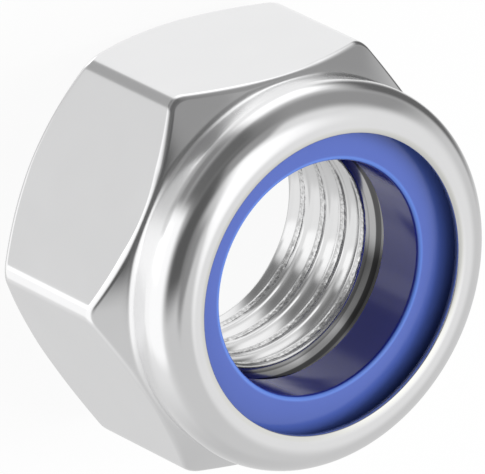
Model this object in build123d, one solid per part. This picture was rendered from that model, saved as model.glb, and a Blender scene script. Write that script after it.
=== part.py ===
from build123d import *
import os
from math import acos, asin, atan2, cos, degrees, hypot, radians, sin, sqrt, tan

# Hexagon lock nut with a captive nylon ring, for an M16 x 2 thread.
# The nut stands on its bearing face, centred on the origin, with its thread axis along Z
# and the collar that holds the nylon ring on top. All sizes are in millimetres.

# Hexagon
across_flats = 24.0
nut_height = 16.0
end_chamfer_angle = 40.0
bearing_chamfer_width = 0.5
hexagon_edge_radius = 0.95

# Threaded hole
thread_diameter = 16.0
thread_pitch = 2.0
bearing_countersink_margin = 1.15
bearing_countersink_angle = 90.0
seat_countersink_margin = 0.3
seat_countersink_angle = 90.0

# Collar, rolled over the nylon ring
collar_height = 4.25
collar_inset = 0.3
collar_flare = 0.3
collar_root_fillet = 0.4
collar_wall = 1.4
rim_radius = 2.1
lip_overhang = 1.3
lip_edge_height = 0.36

# Nylon ring
ring_grip = 0.75
ring_thickness = 3.55
ring_depth = 1.3
ring_shoulder_height = 0.8
ring_clearance = 0.05
ring_mouth_chamfer = 0.3
ring_foot_chamfer = 0.3

# The hexagon's faces and corners
apothem = across_flats / 2
corner_radius = apothem / cos(radians(30))
chamfer_slope = tan(radians(end_chamfer_angle))
bearing_radius = apothem - bearing_chamfer_width
flat_height = nut_height - collar_height

# The hole, which is as wide as the thread is between its crests
thread_radius = thread_diameter / 2
crest_depth = thread_pitch * 0.625 * cos(radians(30))
bore_radius = thread_radius - crest_depth
bearing_countersink_radius = thread_radius + bearing_countersink_margin
seat_countersink_radius = thread_radius + seat_countersink_margin

# The collar, from its foot on the shoulder to its rim and lip
collar_root_radius = apothem - collar_inset
collar_radius = collar_root_radius + collar_flare
shoulder_height = flat_height + collar_inset * chamfer_slope
rim_centre = (collar_radius - rim_radius, nut_height - rim_radius)
seat_radius = collar_radius - collar_wall
lip_radius = seat_radius - lip_overhang
lip_top = rim_centre[1] + sqrt(rim_radius**2 - (rim_centre[0] - lip_radius) ** 2)
lip_underside = lip_top - lip_edge_height

# The ring and the seat that it stands in
ring_top = nut_height - ring_depth
seat_floor = ring_top - ring_thickness
ring_bore_radius = thread_radius - ring_grip
curl_start = ring_top - ring_shoulder_height
curl_rise = lip_underside - curl_start
curl_radius = (curl_rise**2 + lip_overhang**2) / (2 * lip_overhang)
curl_centre = (seat_radius - curl_radius, curl_start)


def revolved(outline):
    """A solid turned about Z from a closed outline in the (radius, height) plane."""
    return revolve(Plane.XZ * make_face(outline), Axis.Z)


def turned_blank():
    """The round blank: the two cones that trim the corners, and the collar rolled inwards to a thin lip."""
    foot = (collar_root_radius, shoulder_height)
    foot_distance = hypot(foot[0] - rim_centre[0], foot[1] - rim_centre[1])
    foot_angle = degrees(atan2(foot[1] - rim_centre[1], foot[0] - rim_centre[0]))
    wall_end_angle = foot_angle + degrees(acos(rim_radius / foot_distance))
    lip_angle = 90 + degrees(asin((rim_centre[0] - lip_radius) / rim_radius))
    rim = CenterArc(rim_centre, rim_radius, wall_end_angle, lip_angle - wall_end_angle)
    lower_cone_end = (corner_radius, (corner_radius - bearing_radius) * chamfer_slope)
    upper_cone_end = (corner_radius, flat_height - (corner_radius - apothem) * chamfer_slope)
    shoulder = FilletPolyline(upper_cone_end, foot, rim @ 0, radius=collar_root_fillet)
    body = Polyline(
        rim @ 1,
        (lip_radius, shoulder_height),
        (0, shoulder_height),
        (0, 0),
        (bearing_radius, 0),
        lower_cone_end,
        upper_cone_end,
    )
    return revolved(Curve() + [shoulder, rim, body])


def wrench_flats():
    """What is cut from the round blank, up to its shoulder, to leave the hexagon and its rounded edges."""
    section = RegularPolygon(apothem, 6, major_radius=False, rotation=30)
    hexagon = extrude(section, shoulder_height)
    hexagon = fillet(hexagon.edges().filter_by(Axis.Z), hexagon_edge_radius)
    around = extrude(Circle(corner_radius + hexagon_edge_radius), shoulder_height)
    return around - hexagon


def seat_cavity():
    """The space inside the collar: a flat floor, a straight wall and the curl under the lip."""
    curl_angle = degrees(atan2(curl_rise, lip_radius - curl_centre[0]))
    curl = CenterArc(curl_centre, curl_radius, 0, curl_angle)
    above = nut_height + lip_edge_height
    sides = Polyline(
        curl @ 1,
        (lip_radius, above),
        (0, above),
        (0, seat_floor),
        (seat_radius, seat_floor),
        curl @ 0,
    )
    return revolved(Curve() + [curl, sides])


def threaded_hole():
    """The hole at the thread's crests, with a countersink at the bearing face and at the seat."""
    lower_depth = (bearing_countersink_radius - bore_radius) / tan(radians(bearing_countersink_angle / 2))
    upper_depth = (seat_countersink_radius - bore_radius) / tan(radians(seat_countersink_angle / 2))
    outline = Polyline(
        (0, 0),
        (bearing_countersink_radius, 0),
        (bore_radius, lower_depth),
        (bore_radius, seat_floor - upper_depth),
        (seat_countersink_radius, seat_floor),
        (0, seat_floor),
        close=True,
    )
    return revolved(outline)


def nut_body():
    """The one-piece steel nut."""
    return turned_blank() - wrench_flats() - seat_cavity() - threaded_hole()


def nylon_ring():
    """The nylon ring: it stands on the seat's floor and its shoulder leans inwards under the curl."""
    outer_radius = seat_radius - ring_clearance
    shoulder_radius = sqrt((curl_radius - ring_clearance) ** 2 - ring_shoulder_height**2)
    outline = Polyline(
        (curl_centre[0] + shoulder_radius, ring_top),
        (ring_bore_radius + ring_mouth_chamfer, ring_top),
        (ring_bore_radius, ring_top - ring_mouth_chamfer),
        (ring_bore_radius, seat_floor),
        (outer_radius - ring_foot_chamfer, seat_floor),
        (outer_radius, seat_floor + ring_foot_chamfer),
        (outer_radius, curl_start),
        close=True,
    )
    return revolved(outline)


os.makedirs("parts", exist_ok=True)
for name, solid in (("nut_body", nut_body()), ("nylon_ring", nylon_ring())):
    export_step(solid, f"parts/{name}.step")
    print(name, round(solid.volume, 1), "mm3")
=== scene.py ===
from math import acos, asin, atan2, cos, degrees, hypot, pi, radians, sin, sqrt, tan

import bpy
from mathutils import Matrix, Vector, noise


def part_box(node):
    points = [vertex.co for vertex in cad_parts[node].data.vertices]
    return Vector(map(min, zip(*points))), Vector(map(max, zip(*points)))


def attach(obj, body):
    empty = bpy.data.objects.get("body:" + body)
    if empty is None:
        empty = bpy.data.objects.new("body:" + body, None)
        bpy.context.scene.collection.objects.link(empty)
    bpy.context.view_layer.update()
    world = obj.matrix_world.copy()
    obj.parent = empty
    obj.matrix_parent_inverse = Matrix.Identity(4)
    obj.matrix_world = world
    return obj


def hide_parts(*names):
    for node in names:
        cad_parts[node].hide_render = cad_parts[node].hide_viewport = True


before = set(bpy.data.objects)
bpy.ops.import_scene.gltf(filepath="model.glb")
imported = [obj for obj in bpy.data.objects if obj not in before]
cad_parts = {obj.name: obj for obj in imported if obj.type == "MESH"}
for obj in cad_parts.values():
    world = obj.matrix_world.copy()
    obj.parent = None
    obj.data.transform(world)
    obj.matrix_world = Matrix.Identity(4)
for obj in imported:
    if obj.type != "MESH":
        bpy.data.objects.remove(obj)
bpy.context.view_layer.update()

# Sizes in metres, as in the part's source. The outer ones come from the frame.
mm = 0.001
skin = 0.0005 * mm
body_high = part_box("nut_body")[1]
ring_low, ring_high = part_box("nylon_ring")
apothem = body_high[0]
nut_height = body_high[2]
seat_floor = ring_low[2]
ring_top = ring_high[2]
ring_outer_radius = ring_high[0]

end_chamfer_slope = tan(radians(40))
bearing_chamfer_width = 0.5 * mm
bearing_radius = apothem - bearing_chamfer_width
hexagon_edge_radius = 1.3 * mm
collar_height = 4.25 * mm
flat_height = nut_height - collar_height

collar_inset = 0.3 * mm
collar_flare = 0.3 * mm
collar_wall = 1.4 * mm
collar_root_radius = apothem - collar_inset
collar_radius = collar_root_radius + collar_flare
collar_root_fillet = 0.65 * mm
shoulder_height = flat_height + (apothem - collar_root_radius) * end_chamfer_slope
rim_radius = 2.1 * mm
rim_centre = (collar_radius - rim_radius, nut_height - rim_radius)
seat_radius = collar_radius - collar_wall
lip_overhang = 1.3 * mm
lip_radius = seat_radius - lip_overhang
lip_edge_height = 0.36 * mm

thread_radius = 8.0 * mm
thread_pitch = 2.0 * mm
crest_depth = thread_pitch * 0.625 * cos(radians(30))
bore_radius = thread_radius - crest_depth
bearing_countersink_radius = thread_radius + 1.15 * mm
seat_countersink_radius = thread_radius + 0.3 * mm
countersink_slope = 1.0
countersink_blend = 0.1 * mm

# The thread's crest and groove, as distances along the axis and depths. The groove is far shallower than
# a real thread's.
thread_start = 0.12 * mm
crest_height = 0.3 * mm
crest_step = 0.03 * mm
groove_top = 0.4 * mm
groove_waist = 1.15 * mm
groove_end = 1.55 * mm
groove_lean = 0.10 * mm
groove_hollow = 0.05 * mm

# The crests' wear, and the thread's run-out in the seat's countersink: where along the groove it deepens
# and ends, and how far below the seat's floor it begins
crest_wear = 0.04 * mm
crest_wear_length = 0.28 * mm
crest_wear_stretch = 1.4
crest_wear_reach = 0.9 * crest_height
runout_depth = 0.14 * mm
runout_rise = (0.2 * mm, 0.8 * mm)
runout_fall = (0.9 * mm, 1.7 * mm)
runout_begin = (0.1 * mm, 0.4 * mm)

ring_grip = 0.75 * mm
ring_bore_radius = thread_radius - ring_grip
ring_shoulder_height = 0.8 * mm
ring_clearance = 0.05 * mm
curl_start = ring_top - ring_shoulder_height

# Roundings of the edges
flat_edge_rounding = 0.8 * mm
bearing_edge_rounding = 0.25 * mm
ring_mouth_rounding = 0.28 * mm
ring_inner_foot_rounding = 0.15 * mm
ring_outer_foot_rounding = 0.3 * mm
ring_shoulder_rounding = 0.1 * mm
lip_edge_rounding = 0.08 * mm
hole_edge_rounding = 0.12 * mm
seat_corner_rounding = 0.1 * mm

# How finely the meshes are divided
rim_steps = 40
curl_steps = 12
shoulder_steps = 6
hole_rows = 170
hole_rows_top = seat_floor - 0.04 * mm
hole_rows_bottom = 0.1 * mm
edge_half_angle = radians(3.5)
edge_columns = 12
flat_columns = 42
ring_columns = 192


def arc(centre, radius, start, end, steps):
    """Points of an arc in the section plane, its angles in degrees."""
    points = []
    for step in range(steps + 1):
        angle = radians(start + (end - start) * step / steps)
        points.append((centre[0] + radius * cos(angle), centre[1] + radius * sin(angle)))
    return points


def rounded(before, corner, after, radius, steps):
    """The corner of a section, rounded where the two straight stretches that meet there allow it."""
    back = Vector(before) - Vector(corner)
    ahead = Vector(after) - Vector(corner)
    half = back.angle(ahead) / 2
    length = min(radius / tan(half), 0.49 * back.length, 0.49 * ahead.length)
    start = Vector(corner) + back.normalized() * length
    end = Vector(corner) + ahead.normalized() * length
    centre = Vector(corner) + (back.normalized() + ahead.normalized()).normalized() * (length / cos(half))
    points = []
    turn = (start - centre).angle_signed(end - centre)
    for step in range(steps + 1):
        offset = (start - centre).copy()
        offset.rotate(Matrix.Rotation(-turn * step / steps, 2))
        points.append(tuple(centre + offset))
    return points


def hexagon_radius(azimuth):
    """How far the hexagon's side lies from the axis, with its long edges rounded."""
    from_flat = (azimuth + pi / 6) % (pi / 3) - pi / 6
    from_corner = pi / 6 - abs(from_flat)
    centre = (apothem - hexagon_edge_radius) / cos(pi / 6)
    tangent = atan2(hexagon_edge_radius * 0.5, centre + hexagon_edge_radius * cos(pi / 6))
    if from_corner >= tangent:
        return apothem / cos(from_flat)
    across = centre * sin(from_corner)
    return centre * cos(from_corner) + sqrt(hexagon_edge_radius**2 - across**2)


def smooth_max(a, b, blend):
    """The larger of two lengths, blended where they are nearly equal."""
    overlap = max(0.0, blend - abs(a - b)) / blend
    return max(a, b) + overlap * overlap * blend / 4


def smooth_step(value, start, end):
    """A share that goes smoothly from 0 to 1 as a value goes from start to end."""
    share = min(1.0, max(0.0, (value - start) / (end - start)))
    return share * share * (3 - 2 * share)


def groove(below_crest):
    """Depth of the thread's groove at a distance below the middle of a crest.

    It steps in under the crest, grows shallower down to its waist and deepens again in a hollow.
    """
    opening = smooth_step(below_crest, crest_height / 2, groove_top)
    closing = smooth_step(below_crest, groove_end, thread_pitch - crest_height / 3)
    lean = 1 - min(1.0, max(0.0, (below_crest - groove_top) / (groove_waist - groove_top)))
    hollow = smooth_step(below_crest, groove_waist, groove_end)
    depth = crest_step + groove_lean * lean * lean + groove_hollow * hollow
    return depth * opening * (1 - closing)


def hole_radius(azimuth, height):
    """Radius of the threaded hole's wall: a right-handed thread that runs out in two countersinks."""
    turns = azimuth / (2 * pi) - (height - thread_start) / thread_pitch
    below_crest = turns % 1.0 * thread_pitch
    thread = bore_radius + groove(below_crest)
    from_crest = min(below_crest, thread_pitch - below_crest)
    place = Vector((bore_radius * cos(azimuth), bore_radius * sin(azimuth), crest_wear_stretch * height))
    wear = noise.noise(place / crest_wear_length)
    thread += crest_wear * wear * max(0.0, 1 - from_crest / crest_wear_reach)
    lower = bearing_countersink_radius - height * countersink_slope
    upper = seat_countersink_radius - (seat_floor - height) * countersink_slope
    runout = smooth_step(below_crest, *runout_rise) * (1 - smooth_step(below_crest, *runout_fall))
    upper += runout_depth * runout * smooth_step(seat_floor - height, *runout_begin)
    return smooth_max(thread, max(lower, upper), countersink_blend)


def curl_geometry(underside):
    """Centre and radius of the arc inside the collar, from the seat's wall to the lip's underside."""
    rise = underside - curl_start
    run = seat_radius - lip_radius
    radius = (rise**2 + run**2) / (2 * run)
    return (seat_radius - radius, curl_start), radius


lip_top = rim_centre[1] + sqrt(rim_radius**2 - (rim_centre[0] - lip_radius) ** 2)
lip_underside = lip_top - lip_edge_height
curl_centre, curl_radius = curl_geometry(lip_underside)


def body_section(azimuth):
    """The closed section of the steel body at one azimuth, from the bearing face round to the hole."""
    side = hexagon_radius(azimuth)
    side_low = (side - bearing_radius) * end_chamfer_slope
    side_high = flat_height - (side - apothem) * end_chamfer_slope
    inner = (bearing_countersink_radius, skin)
    bearing_edge = (bearing_radius, skin)
    low = (side, side_low)
    high = (side, side_high)
    root = (collar_root_radius, shoulder_height)
    foot_distance = hypot(root[0] - rim_centre[0], root[1] - rim_centre[1])
    foot_angle = degrees(atan2(root[1] - rim_centre[1], root[0] - rim_centre[0]))
    wall_end = foot_angle + degrees(acos(rim_radius / foot_distance))
    lip_angle = 90 + degrees(asin((rim_centre[0] - lip_radius) / rim_radius))
    rim = arc(rim_centre, rim_radius, wall_end, lip_angle, rim_steps)
    lip_corner = rim.pop()
    underside = (lip_radius, lip_underside)
    curl_end = degrees(atan2(underside[1] - curl_centre[1], underside[0] - curl_centre[0]))
    curl = arc(curl_centre, curl_radius, curl_end, 0, curl_steps)
    seat_corner = (seat_radius, seat_floor)
    hole_edge = (seat_countersink_radius, seat_floor)
    points = rounded((inner[0] - mm, mm), inner, bearing_edge, hole_edge_rounding, 3)
    points += rounded(inner, bearing_edge, low, bearing_edge_rounding, 4)
    points += rounded(bearing_edge, low, high, flat_edge_rounding, 5)
    points += rounded(low, high, root, flat_edge_rounding, 5)
    points += rounded(high, root, rim[0], collar_root_fillet, 7)
    points += rim
    points += rounded(rim[-1], lip_corner, underside, lip_edge_rounding, 3)
    points += curl
    points += rounded(curl[-1], seat_corner, hole_edge, seat_corner_rounding, 2)
    points += [hole_edge]
    for row in range(hole_rows + 1):
        height = hole_rows_top + (hole_rows_bottom - hole_rows_top) * row / hole_rows
        points.append((hole_radius(azimuth, height), height))
    return points


def ring_section(azimuth):
    """The closed section of the nylon ring, the same at every azimuth."""
    shoulder_radius = curl_radius - ring_clearance
    shoulder_angle = degrees(asin(ring_shoulder_height / shoulder_radius))
    shoulder = arc(curl_centre, shoulder_radius, 0, shoulder_angle, shoulder_steps)
    mouth = (ring_bore_radius, ring_top)
    foot_inner = (ring_bore_radius, seat_floor)
    foot_outer = (ring_outer_radius, seat_floor)
    points = rounded(mouth, foot_inner, foot_outer, ring_inner_foot_rounding, 4)
    points += rounded(foot_inner, foot_outer, shoulder[0], ring_outer_foot_rounding, 3)
    points += shoulder[:-1]
    points += rounded(shoulder[-2], shoulder[-1], mouth, ring_shoulder_rounding, 3)
    for share in (0.3, 0.5, 0.7):
        points.append((seat_radius + (ring_bore_radius - seat_radius) * share, ring_top))
    points += rounded(shoulder[-1], mouth, foot_inner, ring_mouth_rounding, 8)
    return points


def column_azimuths():
    """Azimuths of the mesh's columns, closer together round each of the hexagon's edges."""
    azimuths = []
    near = edge_half_angle
    between = pi / 3 - 2 * near
    for corner in range(6):
        middle = radians(30 + 60 * corner)
        azimuths += [middle - near + 2 * near * step / edge_columns for step in range(edge_columns)]
        azimuths += [middle + near + between * step / flat_columns for step in range(flat_columns)]
    return azimuths


def turned_mesh(name, section, azimuths):
    """A closed mesh whose section may change from one azimuth to the next."""
    vertices = []
    for azimuth in azimuths:
        for radius, height in section(azimuth):
            vertices.append((radius * cos(azimuth), radius * sin(azimuth), height))
    rows = len(vertices) // len(azimuths)
    faces = []
    for column in range(len(azimuths)):
        here = column * rows
        there = (column + 1) % len(azimuths) * rows
        for row in range(rows):
            after = (row + 1) % rows
            faces.append((here + row, there + row, there + after, here + after))
    mesh = bpy.data.meshes.new(name)
    mesh.from_pydata(vertices, [], faces)
    mesh.polygons.foreach_set("use_smooth", [True] * len(faces))
    mesh.update()
    piece = bpy.data.objects.new(name, mesh)
    bpy.context.scene.collection.objects.link(piece)
    normals = piece.modifiers.new("even shading of the flats", "WEIGHTED_NORMAL")
    normals.weight = 80
    return piece


def new_material(name):
    """An empty node material, its tree and its Principled shader."""
    material = bpy.data.materials.new(name)
    material.use_nodes = True
    tree = material.node_tree
    return material, tree, tree.nodes["Principled BSDF"]


def fade(tree, socket, start, end):
    """A factor that goes smoothly from 0 to 1 as a value goes from start to end."""
    ramp = tree.nodes.new("ShaderNodeMapRange")
    ramp.interpolation_type = "SMOOTHSTEP"
    ramp.inputs["From Min"].default_value = start
    ramp.inputs["From Max"].default_value = end
    tree.links.new(socket, ramp.inputs["Value"])
    return ramp.outputs["Result"]


def product(tree, first, *others):
    """Several factors multiplied."""
    for other in others:
        multiply = tree.nodes.new("ShaderNodeMath")
        multiply.operation = "MULTIPLY"
        tree.links.new(first, multiply.inputs[0])
        tree.links.new(other, multiply.inputs[1])
        first = multiply.outputs[0]
    return first


def blend(tree, factor, first, second):
    """One colour blended into another by a factor. A colour is a socket or a tuple."""
    mix = tree.nodes.new("ShaderNodeMix")
    mix.data_type = "RGBA"
    tree.links.new(factor, mix.inputs["Factor"])
    for name, colour in (("A", first), ("B", second)):
        if isinstance(colour, tuple):
            mix.inputs[name].default_value = (*colour, 1)
        else:
            tree.links.new(colour, mix.inputs[name])
    return mix.outputs["Result"]


def polar_place(tree):
    """The place on the piece: its coordinates, its distance from the axis and its height."""
    place = tree.nodes.new("ShaderNodeTexCoord")
    split = tree.nodes.new("ShaderNodeSeparateXYZ")
    flatten = tree.nodes.new("ShaderNodeVectorMath")
    flatten.operation = "MULTIPLY"
    flatten.inputs[1].default_value = (1, 1, 0)
    distance = tree.nodes.new("ShaderNodeVectorMath")
    distance.operation = "LENGTH"
    tree.links.new(place.outputs["Object"], split.inputs[0])
    tree.links.new(place.outputs["Object"], flatten.inputs[0])
    tree.links.new(flatten.outputs["Vector"], distance.inputs[0])
    return place.outputs["Object"], distance.outputs["Value"], split.outputs["Z"]


def grain(tree, place, scale, detail):
    """Noise over the piece, between 0 and 1."""
    texture = tree.nodes.new("ShaderNodeTexNoise")
    texture.inputs["Scale"].default_value = scale
    texture.inputs["Detail"].default_value = detail
    tree.links.new(place, texture.inputs["Vector"])
    return texture.outputs["Fac"]


def painted_rings(tree, height, scale):
    """Rings round the axis, between 0 and 1, used as painted dark reflections and light streaks."""
    texture = tree.nodes.new("ShaderNodeTexNoise")
    texture.noise_dimensions = "1D"
    texture.inputs["Scale"].default_value = scale
    texture.inputs["Detail"].default_value = 2
    tree.links.new(height, texture.inputs["W"])
    return fade(tree, texture.outputs["Fac"], 0.38, 0.62)


def relief(tree, shader, height, strength, distance):
    """Fine relief on a shader, on top of any relief that it has."""
    bump = tree.nodes.new("ShaderNodeBump")
    bump.inputs["Strength"].default_value = strength
    bump.inputs["Distance"].default_value = distance
    tree.links.new(height, bump.inputs["Height"])
    for link in shader.inputs["Normal"].links:
        tree.links.new(link.from_socket, bump.inputs["Normal"])
    tree.links.new(bump.outputs["Normal"], shader.inputs["Normal"])


# Colours of the steel: the plate's two shades, the lip's land, a painted shade under the lip inside the
# collar, a painted shade in the hole, painted dark reflections and light streaks in rings on its
# countersink, and the torn crests of its thread
plate_dark = (0.785, 0.785, 0.79)
plate_light = (0.82, 0.82, 0.825)
land_colour = (0.775, 0.775, 0.745)
# Painted shade: near-black steel for the curl under the lip, where shade falls between the lip and the
# nylon
under_lip_shade_colour = (0.11, 0.11, 0.115)
# Painted shade: the threaded hole's steel is darker, which deepens the shade in the hole's reflections
hole_shade_colour = (0.63, 0.63, 0.632)
# Painted reflection: dark bands and a lighter streak in rings round the countersink, standing in for the
# dark parts and a glint that it mirrors
countersink_painted_dark = (0.13, 0.13, 0.132)
countersink_painted_streak = (0.62, 0.62, 0.622)
torn_colour = (0.42, 0.42, 0.42)

# Roughness of the steel, and how much more of it the collar has
polish = (0.09, 0.17)
collar_roughness = 0.13

# Colours of the nylon: its two shades, a painted shade in its bore and a painted highlight along the edge
# of its mouth
nylon_dark = (0.088, 0.148, 0.54)
nylon_light = (0.10, 0.164, 0.58)
# Painted shade: the nylon's bore is coloured dark where shade falls
nylon_bore_shade = (0.014, 0.024, 0.33)
# Painted highlight: a lighter blue along the rounded edge of the ring's mouth
nylon_mouth_highlight = (0.13, 0.26, 0.80)


def steel_material():
    """Bright plated metal, polished and faintly cloudy.

    It is creamy on the lip's land, with painted shade under the lip inside the collar, rougher on the
    collar's wall, with painted shade darkening the hole, painted dark reflections and light streaks in
    rings on the seat's countersink, and torn crests on the thread.
    """
    material, tree, shader = new_material("bright_zinc")
    shader.inputs["Metallic"].default_value = 1.0
    place, distance, height = polar_place(tree)
    # Painted shade: the curl under the lip, above the seat, is coloured near black where shade falls
    inside = product(
        tree,
        fade(tree, distance, 11.1 * mm, 10.9 * mm),
        fade(tree, height, seat_floor - 0.6 * mm, seat_floor - 0.1 * mm),
        fade(tree, height, lip_underside + 0.01 * mm, lip_underside - 0.02 * mm),
    )
    land = product(
        tree,
        fade(tree, distance, 9.72 * mm, 9.5 * mm),
        fade(tree, height, lip_underside, lip_underside + 0.02 * mm),
    )
    colour = blend(tree, grain(tree, place, 240, 3), plate_dark, plate_light)
    threaded = product(
        tree,
        fade(tree, height, seat_floor, seat_floor - 0.1 * mm),
        fade(tree, distance, 9.4 * mm, 9.2 * mm),
    )
    crest = product(
        tree,
        fade(tree, height, seat_floor - 1.0 * mm, seat_floor - 1.3 * mm),
        fade(tree, height, 1.6 * mm, 2.0 * mm),
        fade(tree, distance, bore_radius + 0.03 * mm, bore_radius + 0.01 * mm),
    )
    # Where the painted reflection of dark bands and light streaks goes: the seat's countersink
    countersink = product(
        tree,
        threaded,
        fade(tree, height, seat_floor - 1.5 * mm, seat_floor - 1.0 * mm),
        fade(tree, distance, bore_radius + 0.12 * mm, bore_radius + 0.3 * mm),
    )
    torn = grain(tree, place, 5200, 3)
    colour = blend(tree, land, colour, land_colour)
    # Painted shade under the lip
    colour = blend(tree, inside, colour, under_lip_shade_colour)
    # Painted shade: the whole threaded hole darkened
    colour = blend(tree, threaded, colour, hole_shade_colour)
    # Painted reflection: dark and light rings on the countersink
    painted_countersink_bands = blend(tree, painted_rings(tree, height, 4200), countersink_painted_dark, countersink_painted_streak)
    colour = blend(tree, countersink, colour, painted_countersink_bands)
    colour = blend(tree, product(tree, crest, fade(tree, torn, 0.40, 0.64)), colour, torn_colour)
    tree.links.new(colour, shader.inputs["Base Color"])
    spread = tree.nodes.new("ShaderNodeMapRange")
    spread.inputs["To Min"].default_value = polish[0]
    spread.inputs["To Max"].default_value = polish[1]
    collar = product(
        tree,
        fade(tree, height, flat_height - 0.3 * mm, flat_height + 0.2 * mm),
        fade(tree, height, rim_centre[1] + 0.4 * mm, rim_centre[1] - 0.6 * mm),
        fade(tree, distance, 10.6 * mm, 11.2 * mm),
    )
    drawn = tree.nodes.new("ShaderNodeMath")
    drawn.operation = "MULTIPLY_ADD"
    drawn.inputs[1].default_value = collar_roughness
    tree.links.new(grain(tree, place, 300, 3), spread.inputs["Value"])
    tree.links.new(collar, drawn.inputs[0])
    tree.links.new(spread.outputs["Result"], drawn.inputs[2])
    tree.links.new(drawn.outputs[0], shader.inputs["Roughness"])
    fine = product(tree, grain(tree, place, 2600, 2), fade(tree, crest, 1.0, 0.0))
    relief(tree, shader, fine, 0.04, 0.01 * mm)
    relief(tree, shader, product(tree, torn, crest), 0.3, 0.05 * mm)
    return material


def nylon_material():
    """Moulded blue nylon: glossy and a little cloudy, with painted shade in its bore and a painted
    highlight along its mouth's edge.
    """
    material, tree, shader = new_material("blue_nylon")
    shader.inputs["Roughness"].default_value = 0.14
    shader.inputs["IOR"].default_value = 1.5
    place, distance, height = polar_place(tree)
    colour = blend(tree, grain(tree, place, 260, 3), nylon_dark, nylon_light)
    # Painted shade: darker colour down the ring's bore
    bore = fade(tree, distance, ring_bore_radius + 0.16 * mm, ring_bore_radius + 0.04 * mm)
    colour = blend(tree, bore, colour, nylon_bore_shade)
    # Painted highlight: lighter blue along the mouth's rounded edge, near the top of the ring
    mouth = product(
        tree,
        fade(tree, distance, ring_bore_radius + 0.36 * mm, ring_bore_radius + 0.20 * mm),
        fade(tree, height, ring_top - 0.16 * mm, ring_top - 0.06 * mm),
    )
    colour = blend(tree, mouth, colour, nylon_mouth_highlight)
    tree.links.new(colour, shader.inputs["Base Color"])
    relief(tree, shader, grain(tree, place, 1800, 2), 0.08, 0.02 * mm)
    return material


# The studio that the metal mirrors: what stands where round the nut. Each entry has the azimuth and
# elevation of its middle, half its width and height, the softness of its sides and of its top and
# bottom, all in degrees, and its light.
studio_strength = 1.04
studio_grey = 0.66
studio_cards = [
    ("overhead panel", 298, 80, 78, 26, 36, 18, 1.25),
    ("bright wall", 254, 42, 40, 16, 26, 26, 0.86),
    ("pale corner", 322, 47, 30, 10, 30, 14, 0.84),
    ("dim wall", 321, 14, 43, 22, 26, 22, 0.33),
    ("dim ceiling", 92, 68, 40, 13, 28, 14, 0.28),
    ("floor of the long wall", 160, -5, 40, 18, 40, 20, 0.60),
    ("pale floor", 195, -62, 50, 24, 30, 16, 0.73),
    ("low dark wall", 20, 22, 26, 24, 34, 20, 0.16),
    ("dark end of the room", 65, 36, 38, 22, 26, 18, 0.11),
    ("ceiling corner", 4, 42, 20, 10, 12, 10, 0.34),
    ("glow beside the white screen", 108, -30, 46, 40, 60, 34, 0.92),
    ("pale table", 305, -68, 56, 25, 14, 10, 0.97),
    ("grey screen", 32, -20, 32, 42, 18, 14, 0.44),
    ("dark gap above the grey screen", 26, 5, 26, 21, 18, 20, 0.15),
    ("shadow on the grey screen", 34, -33, 22, 11, 16, 10, 0.26),
    ("white screen", 92, -18, 38, 26, 12, 14, 1.16),
    ("foot of the white screen", 102, -60, 34, 20, 14, 10, 1.12),
    ("bright strip of the white screen", 77, -34, 13, 16, 8, 10, 1.45),
    ("edge of the table", 65, -50, 7, 9, 6, 8, 0.77),
    ("white patch on the table", 340, -30, 22, 14, 18, 10, 1.16),
    ("soft box on the table", 334, -34, 19, 10, 22, 8, 1.34),
    ("soft box below", 342, -76, 40, 14, 8, 6, 1.5),
    ("dark stand", 282, -24, 25, 16, 20, 14, 0.14),
]


def card_mask(tree, azimuth_socket, elevation_socket, card):
    """A soft-edged patch of directions, as one factor between 0 and 1."""
    name, azimuth, elevation, half_width, half_height, side_softness, end_softness = card[:-1]
    parts = []
    for socket, middle, half, softness in (
        (azimuth_socket, azimuth, half_width, side_softness),
        (elevation_socket, elevation, half_height, end_softness),
    ):
        away = tree.nodes.new("ShaderNodeMath")
        away.operation = "SUBTRACT"
        away.inputs[1].default_value = radians(middle)
        wrapped = tree.nodes.new("ShaderNodeMath")
        wrapped.operation = "WRAP"
        wrapped.inputs[1].default_value = pi
        wrapped.inputs[2].default_value = -pi
        size = tree.nodes.new("ShaderNodeMath")
        size.operation = "ABSOLUTE"
        tree.links.new(socket, away.inputs[0])
        tree.links.new(away.outputs[0], wrapped.inputs[0])
        tree.links.new(wrapped.outputs[0], size.inputs[0])
        edge = radians(softness / 2)
        parts.append(fade(tree, size.outputs[0], radians(half) + edge, radians(half) - edge))
    mask = product(tree, *parts)
    mask.node.label = name
    return mask


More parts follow.
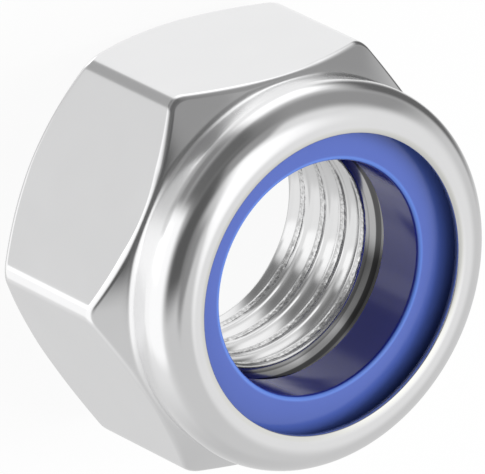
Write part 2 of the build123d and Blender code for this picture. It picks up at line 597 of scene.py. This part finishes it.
def build_world():
    """White to the camera, and the studio to everything that it lights or that mirrors it."""
    world = bpy.data.worlds.new("studio")
    bpy.context.scene.world = world
    world.use_nodes = True
    world.cycles.sampling_method = "NONE"
    tree = world.node_tree
    background = tree.nodes["Background"]
    direction = tree.nodes.new("ShaderNodeTexCoord")
    split = tree.nodes.new("ShaderNodeSeparateXYZ")
    azimuth = tree.nodes.new("ShaderNodeMath")
    azimuth.operation = "ARCTAN2"
    elevation = tree.nodes.new("ShaderNodeMath")
    elevation.operation = "ARCSINE"
    tree.links.new(direction.outputs["Generated"], split.inputs[0])
    tree.links.new(split.outputs["Y"], azimuth.inputs[0])
    tree.links.new(split.outputs["X"], azimuth.inputs[1])
    tree.links.new(split.outputs["Z"], elevation.inputs[0])
    room = tree.nodes.new("ShaderNodeValue")
    room.outputs[0].default_value = studio_grey
    light = room.outputs[0]
    for card in studio_cards:
        mask = card_mask(tree, azimuth.outputs[0], elevation.outputs[0], card)
        mix = tree.nodes.new("ShaderNodeMix")
        tree.links.new(mask, mix.inputs["Factor"])
        tree.links.new(light, mix.inputs["A"])
        mix.inputs["B"].default_value = card[-1]
        light = mix.outputs["Result"]
    path = tree.nodes.new("ShaderNodeLightPath")
    seen = tree.nodes.new("ShaderNodeMix")
    seen.inputs["B"].default_value = 1.0
    tree.links.new(path.outputs["Is Camera Ray"], seen.inputs["Factor"])
    tree.links.new(light, seen.inputs["A"])
    tree.links.new(seen.outputs["Result"], background.inputs["Color"])
    strength = tree.nodes.new("ShaderNodeMix")
    strength.inputs["A"].default_value = studio_strength
    strength.inputs["B"].default_value = 1.0
    tree.links.new(path.outputs["Is Camera Ray"], strength.inputs["Factor"])
    tree.links.new(strength.outputs["Result"], background.inputs["Strength"])


def build_floor():
    """A pale table top, white to the camera apart from the nut's faint shadow."""
    half = 0.4
    below_nut = 0.02 * mm
    white_share = 0.93
    corners = [(-half, -half, 0), (half, -half, 0), (half, half, 0), (-half, half, 0)]
    mesh = bpy.data.meshes.new("floor")
    mesh.from_pydata(corners, [], [(0, 1, 2, 3)])
    floor = bpy.data.objects.new("floor", mesh)
    bpy.context.scene.collection.objects.link(floor)
    floor.location.z = -below_nut
    floor.visible_glossy = False
    floor.visible_transmission = False
    material = bpy.data.materials.new("pale_floor")
    material.use_nodes = True
    tree = material.node_tree
    tree.nodes.remove(tree.nodes["Principled BSDF"])
    matt = tree.nodes.new("ShaderNodeBsdfDiffuse")
    matt.inputs["Color"].default_value = (0.9, 0.9, 0.9, 1)
    glow = tree.nodes.new("ShaderNodeEmission")
    path = tree.nodes.new("ShaderNodeLightPath")
    share = tree.nodes.new("ShaderNodeMath")
    share.operation = "MULTIPLY"
    share.inputs[1].default_value = white_share
    mix = tree.nodes.new("ShaderNodeMixShader")
    tree.links.new(path.outputs["Is Camera Ray"], share.inputs[0])
    tree.links.new(share.outputs[0], mix.inputs[0])
    tree.links.new(matt.outputs[0], mix.inputs[1])
    tree.links.new(glow.outputs[0], mix.inputs[2])
    tree.links.new(mix.outputs[0], tree.nodes["Material Output"].inputs["Surface"])
    mesh.materials.append(material)


def build_lamp():
    """One broad soft lamp, above and behind the nut as the camera sees it."""
    azimuth = radians(265)
    elevation = radians(52)
    distance = 0.30
    lamp = bpy.data.lights.new("soft_lamp", "AREA")
    lamp.shape = "DISK"
    lamp.energy = 0.45
    lamp.size = 0.20
    lamp_object = bpy.data.objects.new("soft_lamp", lamp)
    bpy.context.scene.collection.objects.link(lamp_object)
    towards = Vector((cos(elevation) * cos(azimuth), cos(elevation) * sin(azimuth), sin(elevation)))
    lamp_object.location = towards * distance
    lamp_object.rotation_euler = towards.to_track_quat("Z", "Y").to_euler()
    lamp_object.visible_glossy = False


def build_camera():
    """The photograph's view: a long lens that looks into the collar, turned on its side."""
    azimuth = radians(54.337)
    elevation = radians(48.660)
    roll = radians(116.127)
    aim = Vector((0.749, 0.696, 8.0)) * mm
    distance = 885.4 * mm
    width_at_nut = 28.63 * mm
    towards = Vector((cos(elevation) * cos(azimuth), cos(elevation) * sin(azimuth), sin(elevation)))
    level = Vector((0, 0, 1)).cross(towards).normalized()
    upright = towards.cross(level)
    right = level * cos(roll) + upright * sin(roll)
    up = upright * cos(roll) - level * sin(roll)
    camera = bpy.data.cameras.new("camera")
    camera.sensor_width = 36
    camera.lens = camera.sensor_width * distance / width_at_nut
    camera.clip_end = 10
    camera_object = bpy.data.objects.new("camera", camera)
    bpy.context.scene.collection.objects.link(camera_object)
    turn = Matrix((right, up, towards)).transposed()
    camera_object.matrix_world = Matrix.Translation(aim + towards * distance) @ turn.to_4x4()
    bpy.context.scene.camera = camera_object


def build_nut():
    """The steel body with its shallow thread, in place of the plain solid."""
    piece = turned_mesh("steel_body", body_section, column_azimuths())
    piece.data.materials.append(steel_material())
    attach(piece, "root")
    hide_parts("nut_body")


def build_ring():
    """The nylon ring with its rounded mouth, in place of the plain solid."""
    azimuths = [2 * pi * column / ring_columns for column in range(ring_columns)]
    piece = turned_mesh("nylon_insert", ring_section, azimuths)
    piece.data.materials.append(nylon_material())
    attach(piece, "root")
    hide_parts("nylon_ring")


build_camera()
build_nut()
build_ring()
build_world()
build_floor()
build_lamp()
bpy.context.scene.view_settings.view_transform = "Standard"
